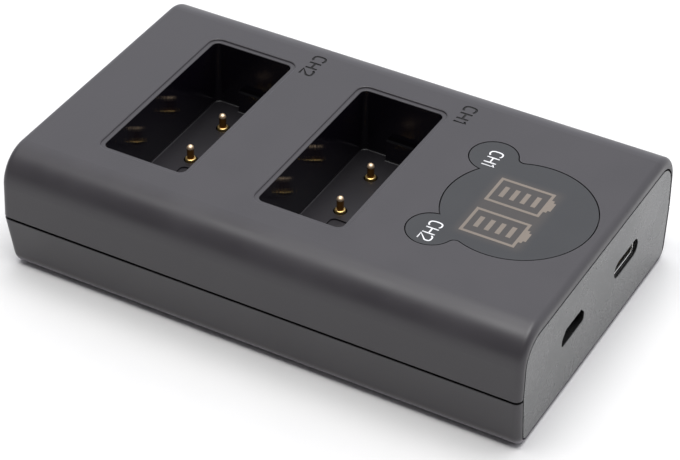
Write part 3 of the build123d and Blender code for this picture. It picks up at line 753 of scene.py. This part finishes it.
class Workshop:
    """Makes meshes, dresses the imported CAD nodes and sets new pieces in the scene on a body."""

    WIRE_WELD: ClassVar[float] = 0.01
    SPUN_WELD: ClassVar[float] = 0.002 * MM

    @staticmethod
    def adopt(
        name: str, mesh: bpy.types.Mesh, finish: Finish, slot: str, body: str = CASE_BODY
    ) -> bpy.types.Object:
        """Turns a mesh into a piece of the charger.

        Args:
            name: Name of the piece.
            mesh: Its mesh, in the part's frame.
            finish: Its finish.
            slot: The record's material slot that it belongs to; not used.
            body: The body that carries it.

        Returns:
            The new object.
        """
        made = bpy.data.objects.new(name, mesh)
        bpy.context.scene.collection.objects.link(made)
        if not mesh.materials:
            mesh.materials.append(finish.material())
        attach(made, body)
        LOG.info("made %s with %d faces", name, len(mesh.polygons))
        return made

    @staticmethod
    def dress(finish: Finish, *nodes: str) -> None:
        """Gives CAD nodes a finish.

        Args:
            finish: The finish.
            nodes: Names of the nodes.
        """
        for name in nodes:
            mesh = frame["nodes"][name].data
            mesh.materials.clear()
            mesh.materials.append(finish.material())
            LOG.info("dressed %s in %s", name, finish.name)

    @staticmethod
    def smooth(mesh: bpy.types.Mesh) -> None:
        """Shades all the faces of a mesh smoothly."""
        for face in mesh.polygons:
            face.use_smooth = True

    @staticmethod
    def meshed(name: str, shape: bmesh.types.BMesh) -> bpy.types.Mesh:
        """Turns a finished shape into a mesh, and frees the shape."""
        mesh = bpy.data.meshes.new(name)
        shape.to_mesh(mesh)
        shape.free()
        return mesh

    @staticmethod
    def helix(foot: Vector, radius: float, rise: float, turns: float, points: int) -> list[Point]:
        """Winds a helix about an upright axis.

        Args:
            foot: Foot of the axis.
            radius: Radius of the winding.
            rise: Height of the winding.
            turns: Number of turns.
            points: Points in each turn.

        Returns:
            Points along the helix.
        """
        steps = int(turns * points)
        path = []
        for step in range(steps + 1):
            share = step / steps
            angle = math.tau * turns * share
            path.append((
                foot.x + radius * math.cos(angle),
                foot.y + radius * math.sin(angle),
                foot.z + rise * share,
            ))
        return path

    @staticmethod
    def tube(
        name: str, paths: Iterable[Sequence[Point]], radius: float, sides: int = 3
    ) -> bpy.types.Mesh:
        """Makes round wire along paths.

        Args:
            name: Name of the mesh.
            paths: Points of each wire.
            radius: Radius of the wire.
            sides: Resolution of its round section.

        Returns:
            The mesh, with closed ends.
        """
        curve = bpy.data.curves.new(name, "CURVE")
        curve.dimensions = "3D"
        curve.bevel_depth = radius
        curve.bevel_resolution = sides
        curve.use_fill_caps = True
        for path in paths:
            spline = curve.splines.new("POLY")
            spline.points.add(len(path) - 1)
            for point, place in zip(spline.points, path):
                point.co = (*place, 1.0)
        holder = bpy.data.objects.new(name, curve)
        mesh = bpy.data.meshes.new_from_object(holder)
        bpy.data.objects.remove(holder)
        bpy.data.curves.remove(curve)
        shape = bmesh.new()
        shape.from_mesh(mesh)
        bmesh.ops.remove_doubles(shape, verts=shape.verts, dist=radius * Workshop.WIRE_WELD)
        bmesh.ops.recalc_face_normals(shape, faces=shape.faces)
        shape.to_mesh(mesh)
        shape.free()
        mesh.name = name
        return mesh

    @staticmethod
    def slabs(name: str, boxes: Iterable[tuple[Vector, Vector]], edge: float) -> bpy.types.Mesh:
        """Makes small rounded slabs in one mesh.

        Args:
            name: Name of the mesh.
            boxes: Middle and size of each slab.
            edge: Radius of their edges.

        Returns:
            The mesh.
        """
        shape = bmesh.new()
        for middle, size in boxes:
            place = Matrix.Translation(middle) @ Matrix.Diagonal((*size, 1.0))
            made = bmesh.ops.create_cube(shape, size=1.0, matrix=place)
            edges = {edge_of for corner in made["verts"] for edge_of in corner.link_edges}
            bmesh.ops.bevel(
                shape, geom=list(edges), offset=edge, segments=2, affect="EDGES", profile=0.5
            )
        return Workshop.meshed(name, shape)

    @staticmethod
    def spun(
        name: str, profile: Sequence[tuple[float, float]], places: Iterable[Point], steps: int = 16
    ) -> bpy.types.Mesh:
        """Makes turned shapes about upright axes in one mesh.

        Args:
            name: Name of the mesh.
            profile: Radius and height of each point of the half section.
            places: Foot of each axis.
            steps: Steps round the axis.

        Returns:
            The mesh.
        """
        shape = bmesh.new()
        for place in places:
            foot = Vector(place)
            corners = [shape.verts.new(foot + Vector((radius, 0.0, rise))) for radius, rise in profile]
            edges = [shape.edges.new(pair) for pair in zip(corners, corners[1:])]
            bmesh.ops.spin(
                shape, geom=corners + edges, cent=place, axis=(0.0, 0.0, 1.0), angle=math.tau,
                steps=steps, use_merge=True, use_duplicate=False,
            )
        bmesh.ops.remove_doubles(shape, verts=shape.verts, dist=Workshop.SPUN_WELD)
        bmesh.ops.recalc_face_normals(shape, faces=shape.faces)
        mesh = Workshop.meshed(name, shape)
        Workshop.smooth(mesh)
        return mesh


class Glyph(Enum):
    """The signs of a channel mark."""

    C = "C"
    H = "H"
    ONE = "1"
    TWO = "2"


@dataclass(frozen=True)
class ChannelMark:
    """A channel mark drawn with single strokes.

    It reads along -Y, with the tops of its signs towards +X.
    """

    signs: tuple[Glyph, ...]
    middle: Point
    cap_height: float
    sign_width: float
    spacing: float
    stroke: float

    CURVE_STEPS: ClassVar[int] = 14
    SQUARENESS: ClassVar[float] = 0.75
    ONE_SHARE: ClassVar[float] = 0.32
    FLAG_FOOT: ClassVar[float] = 0.82
    C_ANGLES: ClassVar[tuple[float, float]] = (42, 318)
    BOW_MIDDLE: ClassVar[float] = 0.72
    BOW_ANGLES: ClassVar[tuple[float, float]] = (165, -28)

    def width_of(self, sign: Glyph) -> float:
        """Gives a sign's width."""
        return self.sign_width * (self.ONE_SHARE if sign is Glyph.ONE else 1.0)

    def strokes_of(self, sign: Glyph) -> list[list[tuple[float, float]]]:
        """Draws one sign.

        Args:
            sign: The sign to draw.

        Returns:
            Its strokes, as points from the sign's lower left corner.
        """
        wide = self.width_of(sign)
        tall = self.cap_height
        if sign is Glyph.H:
            return [[(0, 0), (0, tall)], [(wide, 0), (wide, tall)], [(0, tall / 2), (wide, tall / 2)]]
        if sign is Glyph.ONE:
            return [[(0, tall * self.FLAG_FOOT), (wide, tall), (wide, 0)]]
        if sign is Glyph.C:
            return [self.arc(wide / 2, tall / 2, wide / 2, tall / 2, *self.C_ANGLES)]
        bow = self.arc(
            wide / 2, tall * self.BOW_MIDDLE, wide / 2, tall * (1 - self.BOW_MIDDLE), *self.BOW_ANGLES
        )
        return [[*bow, (0, 0), (wide, 0)]]

    def arc(
        self, x: float, y: float, wide: float, tall: float, start: float, end: float
    ) -> list[tuple[float, float]]:
        """Draws a squarish arc.

        Args:
            x: Middle across the sign.
            y: Middle up the sign.
            wide: Half its width.
            tall: Half its height.
            start: First angle in degrees.
            end: Last angle in degrees.

        Returns:
            Points along the arc.
        """
        points = []
        for step in range(self.CURVE_STEPS + 1):
            angle = math.radians(start + (end - start) * step / self.CURVE_STEPS)
            across, up = math.cos(angle), math.sin(angle)
            points.append((
                x + wide * math.copysign(abs(across) ** self.SQUARENESS, across),
                y + tall * math.copysign(abs(up) ** self.SQUARENESS, up),
            ))
        return points

    def paths(self) -> list[list[Point]]:
        """Gives all the strokes in the part's frame."""
        length = sum(self.width_of(sign) for sign in self.signs)
        length += self.spacing * (len(self.signs) - 1)
        found = []
        pen = -length / 2
        for sign in self.signs:
            for stroke in self.strokes_of(sign):
                found.append([
                    (self.middle[0] + y - self.cap_height / 2, self.middle[1] - pen - x, self.middle[2])
                    for x, y in stroke
                ])
            pen += self.width_of(sign) + self.spacing
        return found


CHANNEL_1 = (Glyph.C, Glyph.H, Glyph.ONE)
CHANNEL_2 = (Glyph.C, Glyph.H, Glyph.TWO)


@dataclass
class CaseShells:
    """The two case shells, with a channel mark cut into the top behind each bay and painted shade in its
    grooves.
    """

    mark_cap: float = 2.3 * MM
    mark_width: float = 1.65 * MM
    mark_spacing: float = 0.6 * MM
    mark_stroke: float = 0.45 * MM
    mark_from_bay: float = 11.33 * MM
    mark_y: float = 20.1 * MM
    weld: float = 0.0005 * MM
    reach: float = 0.002 * MM
    alike: float = 0.7

    def build(self) -> None:
        """Makes the marked upper shell and dresses both shells."""
        Workshop.dress(Finishes.CASE, "upper_shell", "lower_shell")
        plain = frame["nodes"]["upper_shell"]
        mesh = self.engraved(plain)
        self.restore_normals(mesh, plain.data)
        shell = Workshop.adopt("upper_case", mesh, Finishes.CASE, "case_black")
        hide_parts("upper_shell")

    def marks(self) -> list[ChannelMark]:
        """Gives the channel marks behind the bays."""
        top = CAD_BOX[1].z
        found = []
        for (low, high), signs in zip(bay_boxes(), (CHANNEL_2, CHANNEL_1)):
            middle = ((low.x + high.x) / 2 + self.mark_from_bay, self.mark_y, top)
            found.append(ChannelMark(
                signs, middle, self.mark_cap, self.mark_width, self.mark_spacing, self.mark_stroke
            ))
        return found

    def engraved(self, plain: bpy.types.Object) -> bpy.types.Mesh:
        """Cuts the marks into a copy of the upper shell.

        Args:
            plain: The CAD node of the upper shell.

        Returns:
            The cut mesh.
        """
        body = bpy.data.objects.new("mark_body", plain.data.copy())
        shape = bmesh.new()
        shape.from_mesh(body.data)
        bmesh.ops.remove_doubles(shape, verts=shape.verts, dist=self.weld)
        shape.to_mesh(body.data)
        shape.free()
        paths = [path for mark in self.marks() for path in mark.paths()]
        strokes = Workshop.tube("mark_cutter", paths, self.mark_stroke / 2)
        # Painted shade: the groove faces cut by the strokes take a near-black finish.
        strokes.materials.append(Finishes.MARK_PAINTED_SHADE.material())
        cutter = bpy.data.objects.new("mark_cutter", strokes)
        for made in (body, cutter):
            bpy.context.scene.collection.objects.link(made)
        cut = body.modifiers.new("marks", "BOOLEAN")
        cut.object = cutter
        cut.solver = "EXACT"
        cut.use_self = True
        cut.material_mode = "TRANSFER"
        bpy.context.view_layer.update()
        graph = bpy.context.evaluated_depsgraph_get()
        mesh = bpy.data.meshes.new_from_object(body.evaluated_get(graph))
        mesh.name = "upper_case"
        for made in (body, cutter):
            bpy.data.objects.remove(made)
        return mesh

    def restore_normals(self, mesh: bpy.types.Mesh, plain: bpy.types.Mesh) -> None:
        """Gives the cut mesh the smooth shading of the plain one.

        Args:
            mesh: The cut mesh.
            plain: The mesh that it was cut from.
        """
        tree = KDTree(len(plain.loops))
        for loop in plain.loops:
            tree.insert(plain.vertices[loop.vertex_index].co, loop.index)
        tree.balance()
        known = [Vector(normal.vector) for normal in plain.corner_normals]
        normals: list[Vector] = [Vector()] * len(mesh.loops)
        for face in mesh.polygons:
            face.use_smooth = True
            for index in face.loop_indices:
                place = mesh.vertices[mesh.loops[index].vertex_index].co
                near = [known[found] for _, found, _ in tree.find_range(place, self.reach)]
                best = max(near, key=face.normal.dot, default=face.normal)
                normals[index] = best if best.dot(face.normal) > self.alike else face.normal.copy()
        mesh.normals_split_custom_set(normals)


@dataclass
class DisplayWindow:
    """The smoked window with its channel labels and the two battery symbols that show through it."""

    label_cap: float = 2.3 * MM
    label_width: float = 1.45 * MM
    label_spacing: float = 0.42 * MM
    label_stroke: float = 0.29 * MM
    label_x: float = 23.75 * MM
    label_ys: tuple[float, float] = (10.9 * MM, -12.0 * MM)
    ink: float = 0.012 * MM
    ink_edge: float = 0.004 * MM
    symbol_x: float = 32.5 * MM
    symbol_ys: tuple[float, float] = (3.43 * MM, -5.9 * MM)
    symbol_length: float = 10.05 * MM
    symbol_breadth: float = 6.95 * MM
    symbol_line: float = 0.55 * MM
    nub_length: float = 0.55 * MM
    nub_breadth: float = 3.5 * MM
    tip_length: float = 0.5 * MM
    tip_breadth: float = 2.3 * MM
    bar_width: float = 0.85 * MM
    bar_length: float = 3.0 * MM
    bar_pitch: float = 1.96 * MM
    bar_count: int = 4
    top: float = field(init=False)

    def build(self) -> None:
        """Dresses the window and prints its labels and symbols."""
        Workshop.dress(Finishes.WINDOW, "display_window")
        self.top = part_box("display_window")[1].z
        for number, (signs, y) in enumerate(zip((CHANNEL_1, CHANNEL_2), self.label_ys), start=1):
            mark = ChannelMark(
                signs, (self.label_x, y, self.top), self.label_cap, self.label_width,
                self.label_spacing, self.label_stroke,
            )
            mesh = Workshop.tube(f"channel_label_{number}", mark.paths(), mark.stroke / 2)
            self.flatten(mesh, self.ink / (mark.stroke / 2))
            Workshop.adopt(mesh.name, mesh, Finishes.LABEL, "window_smoke")
        for number, y in enumerate(self.symbol_ys, start=1):
            mesh = Workshop.slabs(f"battery_symbol_{number}", self.symbol(y), self.ink_edge)
            Workshop.adopt(mesh.name, mesh, Finishes.SYMBOL, "window_smoke")

    def flatten(self, mesh: bpy.types.Mesh, share: float) -> None:
        """Presses round strokes flat onto the window.

        Args:
            mesh: The strokes' mesh.
            share: Share of their height that is left.
        """
        for corner in mesh.vertices:
            corner.co.z = self.top + (corner.co.z - self.top) * share
        Workshop.smooth(mesh)

    def symbol(self, y: float) -> list[tuple[Vector, Vector]]:
        """Lays out one battery symbol.

        Args:
            y: Its middle along Y.

        Returns:
            Middle and size of each of its slabs.
        """
        long_side = self.symbol_length / 2
        short_side = self.symbol_breadth / 2
        line = self.symbol_line
        pieces = []
        for side in (-1, 1):
            pieces.append((0.0, side * (short_side - line / 2), self.symbol_length, line))
            pieces.append((side * (long_side - line / 2), 0.0, line, self.symbol_breadth - 2 * line))
        pieces.append((long_side + self.nub_length / 2, 0.0, self.nub_length, self.nub_breadth))
        tip = long_side + self.nub_length + self.tip_length / 2
        pieces.append((tip, 0.0, self.tip_length, self.tip_breadth))
        for bar in range(self.bar_count):
            offset = (bar - (self.bar_count - 1) / 2) * self.bar_pitch
            pieces.append((offset, 0.0, self.bar_width, self.bar_length))
        return [
            (Vector((self.symbol_x + across, y + along, self.top)), Vector((wide, deep, 2 * self.ink)))
            for across, along, wide, deep in pieces
        ]


@dataclass
class SprungContact:
    """One sprung contact: gold barrel and pin, and the coil spring between them."""

    number: int
    turns: float = 5.0
    wire: float = 0.2 * MM
    points_per_turn: int = 20
    pressed_share: float = 0.605

    def build(self) -> None:
        """Dresses the barrel and pin, and winds the spring."""
        Workshop.dress(Finishes.GOLD, f"contact_barrel_{self.number}")
        Workshop.dress(Finishes.PIN, f"contact_plunger_{self.number}")
        node = f"contact_spring_{self.number}"
        low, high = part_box(node)
        middle = (low + high) / 2
        radius = (high.x - low.x - self.wire) / 2
        rise = high.z - low.z - self.wire
        foot = Vector((middle.x, middle.y, low.z + self.wire / 2))
        path = Workshop.helix(foot, radius, rise, self.turns, self.points_per_turn)
        mesh = Workshop.tube(f"coil_spring_{self.number}", [path], self.wire / 2)
        Workshop.smooth(mesh)
        spring = Workshop.adopt(mesh.name, mesh, Finishes.SPRING, "spring_steel")
        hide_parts(node)
        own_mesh(spring)


@dataclass
class Socket:
    """A socket behind the end panel: drawn shell, tongue and the contacts on the tongue."""

    shell: str
    tongue: str
    contacts: int
    pitch: float
    width: float
    length: float
    tongue_thickness: float
    sides: tuple[int, ...]
    proud: float = 0.02 * MM
    edge: float = 0.01 * MM
    inset: float = 0.35 * MM

    def build(self) -> None:
        """Dresses the socket and lays its contacts on the tongue."""
        Workshop.dress(Finishes.STEEL, self.shell)
        Workshop.dress(Finishes.SOCKET_PLASTIC, self.tongue)
        low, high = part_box(self.tongue)
        middle = (low + high) / 2
        boxes = []
        for side in self.sides:
            for number in range(self.contacts):
                across = (number - (self.contacts - 1) / 2) * self.pitch
                place = Vector((
                    high.x - self.inset - self.length / 2,
                    middle.y + across,
                    middle.z + side * self.tongue_thickness / 2,
                ))
                boxes.append((place, Vector((self.length, self.width, 2 * self.proud))))
        mesh = Workshop.slabs(f"{self.shell}_contacts", boxes, self.edge)
        Workshop.adopt(mesh.name, mesh, Finishes.GOLD, "contact_gold")


@dataclass
class Circuit:
    """The two boards with the parts that they carry, their solder and the inductors' windings."""

    solder_radius: float = 0.75 * MM
    solder_height: float = 0.55 * MM
    solder_section: tuple[tuple[float, float], ...] = ((1.0, 0.0), (0.72, 0.25), (0.6, 0.7), (0.0, 1.0))
    winding_wire: float = 0.3 * MM
    winding_waist: float = 4.6 * MM
    winding_turns: int = 7
    winding_points: int = 28
    inductor_spacing: float = 27.0 * MM

    def build(self) -> None:
        """Dresses the boards and their parts, and adds solder and windings."""
        Workshop.dress(Finishes.MASK, "main_board", "contact_board")
        Workshop.dress(Finishes.CHIP, "charge_chips", "controller_chip")
        Workshop.dress(Finishes.SOCKET_PLASTIC, "header_body")
        Workshop.dress(Finishes.TIN, "header_pins", "display_legs")
        Workshop.dress(Finishes.LIGHT_BOX, "display_module")
        Workshop.dress(Finishes.FERRITE, "power_inductors")
        Workshop.dress(Finishes.CAN, "filter_capacitors")
        self.solder()
        self.windings()

    def solder(self) -> None:
        """Sets a solder cone under each contact of the contact board."""
        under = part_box("contact_board")[0].z
        places = []
        for number in CONTACTS:
            low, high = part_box(f"contact_barrel_{number}")
            places.append(((low.x + high.x) / 2, (low.y + high.y) / 2, under))
        profile = [
            (self.solder_radius * wide, -self.solder_height * deep) for wide, deep in self.solder_section
        ]
        mesh = Workshop.spun("contact_solder", profile, places)
        Workshop.adopt(mesh.name, mesh, Finishes.TIN, "tinned_pin")

    def windings(self) -> None:
        """Winds copper wire on the waist of each inductor."""
        low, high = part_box("power_inductors")
        middle = (low + high) / 2
        radius = (self.winding_waist + self.winding_wire) / 2
        reach = self.winding_turns * self.winding_wire
        paths = []
        for side in (-1, 1):
            foot = Vector((middle.x, side * self.inductor_spacing / 2, middle.z - reach / 2))
            paths.append(Workshop.helix(foot, radius, reach, self.winding_turns, self.winding_points))
        mesh = Workshop.tube("inductor_windings", paths, self.winding_wire / 2, sides=2)
        Workshop.smooth(mesh)
        Workshop.adopt(mesh.name, mesh, Finishes.COPPER, "ferrite_grey")


@dataclass(frozen=True)
class Softbox:
    """A soft oblong light that faces the charger."""

    name: str
    place: Point
    width: float
    height: float
    power: float
    shade: Colour = (1.0, 1.0, 1.0)
    target: Point = (0.0, 0.0, 0.01)

    def build(self) -> None:
        """Hangs the light."""
        light = bpy.data.lights.new(self.name, "AREA")
        light.shape = "RECTANGLE"
        light.size = self.width
        light.size_y = self.height
        light.energy = self.power
        light.color = self.shade
        holder = bpy.data.objects.new(self.name, light)
        holder.location = self.place
        aim = Vector(self.target) - Vector(self.place)
        holder.rotation_euler = aim.to_track_quat("-Z", "Y").to_euler()
        bpy.context.scene.collection.objects.link(holder)


@dataclass
class Studio:
    """The pale floor, the soft lights and the camera."""

    floor_side: float = 6.0
    floor_shade: Colour = (0.79, 0.785, 0.78)
    sky_front: float = 0.1
    sky_back: float = 1.08
    sky_shade: Colour = (0.97, 0.99, 1.05)
    sky_turn: tuple[float, float] = (-0.3, 0.4)
    sky_crown: tuple[float, float] = (1.0, 0.78)
    camera_place: Point = (167.54 * MM, -304.34 * MM, 275.43 * MM)
    camera_turn: Point = (52.234, -0.46, 29.148)
    lens: float = 133.48
    sensor: float = 36.0
    camera_near: float = 0.01

    def build(self) -> None:
        """Sets up the floor, the sky, the lights and the camera."""
        self.floor()
        self.sky()
        for light in (
            Softbox("front_softbox", (0.0, -0.19, 0.8), width=0.7, height=0.28, power=4.3),
            Softbox("back_softbox", (0.05, 0.13, 0.8), width=0.6, height=0.35, power=3.3),
        ):
            light.build()
        self.camera()
        bpy.context.scene.view_settings.view_transform = "Standard"

    def floor(self) -> None:
        """Lays the floor."""
        mesh = bpy.data.meshes.new("studio_floor")
        half = self.floor_side / 2
        corners = [(-half, -half, 0.0), (half, -half, 0.0), (half, half, 0.0), (-half, half, 0.0)]
        mesh.from_pydata(corners, [], [(0, 1, 2, 3)])
        paper = Moulding(
            "studio_paper", self.floor_shade, 0.85, grain=900.0, unevenness=0.006, rub=0.0, dust_share=0.0
        )
        mesh.materials.append(paper.material())
        floor = bpy.data.objects.new("studio_floor", mesh)
        bpy.context.scene.collection.objects.link(floor)

    def sky(self) -> None:
        """Fills the room with soft light, brightest on the paper sweep behind the charger."""
        world = bpy.data.worlds.new("studio_room")
        bpy.context.scene.world = world
        world.use_nodes = True
        graph = Graph(world.node_tree)
        split = graph.node("SeparateXYZ")
        graph.feed(split.inputs[0], graph.node("TexCoord").outputs["Generated"])
        behind = graph.ramp(split.outputs[1], *self.sky_turn)
        below = graph.ramp(split.outputs[2], *self.sky_crown)
        sweep = graph.math(MathStep.MULTIPLY, behind, below)
        light = graph.ramp(sweep, 0.0, 1.0, self.sky_front, self.sky_back)
        room = world.node_tree.nodes["Background"]
        graph.feed(room.inputs["Strength"], light)
        graph.feed(room.inputs["Color"], (*self.sky_shade, 1.0))

    def camera(self) -> None:
        """Sets the camera where the photograph was taken."""
        camera = bpy.data.cameras.new("photo_camera")
        camera.lens = self.lens
        camera.sensor_width = self.sensor
        camera.clip_start = self.camera_near
        holder = bpy.data.objects.new("photo_camera", camera)
        holder.location = self.camera_place
        holder.rotation_euler = Euler([math.radians(angle) for angle in self.camera_turn], "XYZ")
        bpy.context.scene.collection.objects.link(holder)
        bpy.context.scene.camera = holder


def main() -> None:
    """Dresses the charger piece by piece and sets up the studio."""
    logging.basicConfig(level=logging.INFO, format="%(message)s")
    CaseShells().build()
    Workshop.dress(Finishes.PANEL, "end_panel")
    DisplayWindow().build()
    for number in CONTACTS:
        SprungContact(number).build()
    Socket(
        "usb_c_shell", "usb_c_tongue", contacts=12, pitch=0.5 * MM, width=0.26 * MM,
        length=2.6 * MM, tongue_thickness=0.7 * MM, sides=(-1, 1),
    ).build()
    Socket(
        "micro_usb_shell", "micro_usb_tongue", contacts=5, pitch=0.65 * MM, width=0.36 * MM,
        length=2.2 * MM, tongue_thickness=0.6 * MM, sides=(-1,),
    ).build()
    Circuit().build()
    Workshop.dress(Finishes.ZINC, "case_screws")
    Studio().build()


if __name__ == "__main__":
    main()
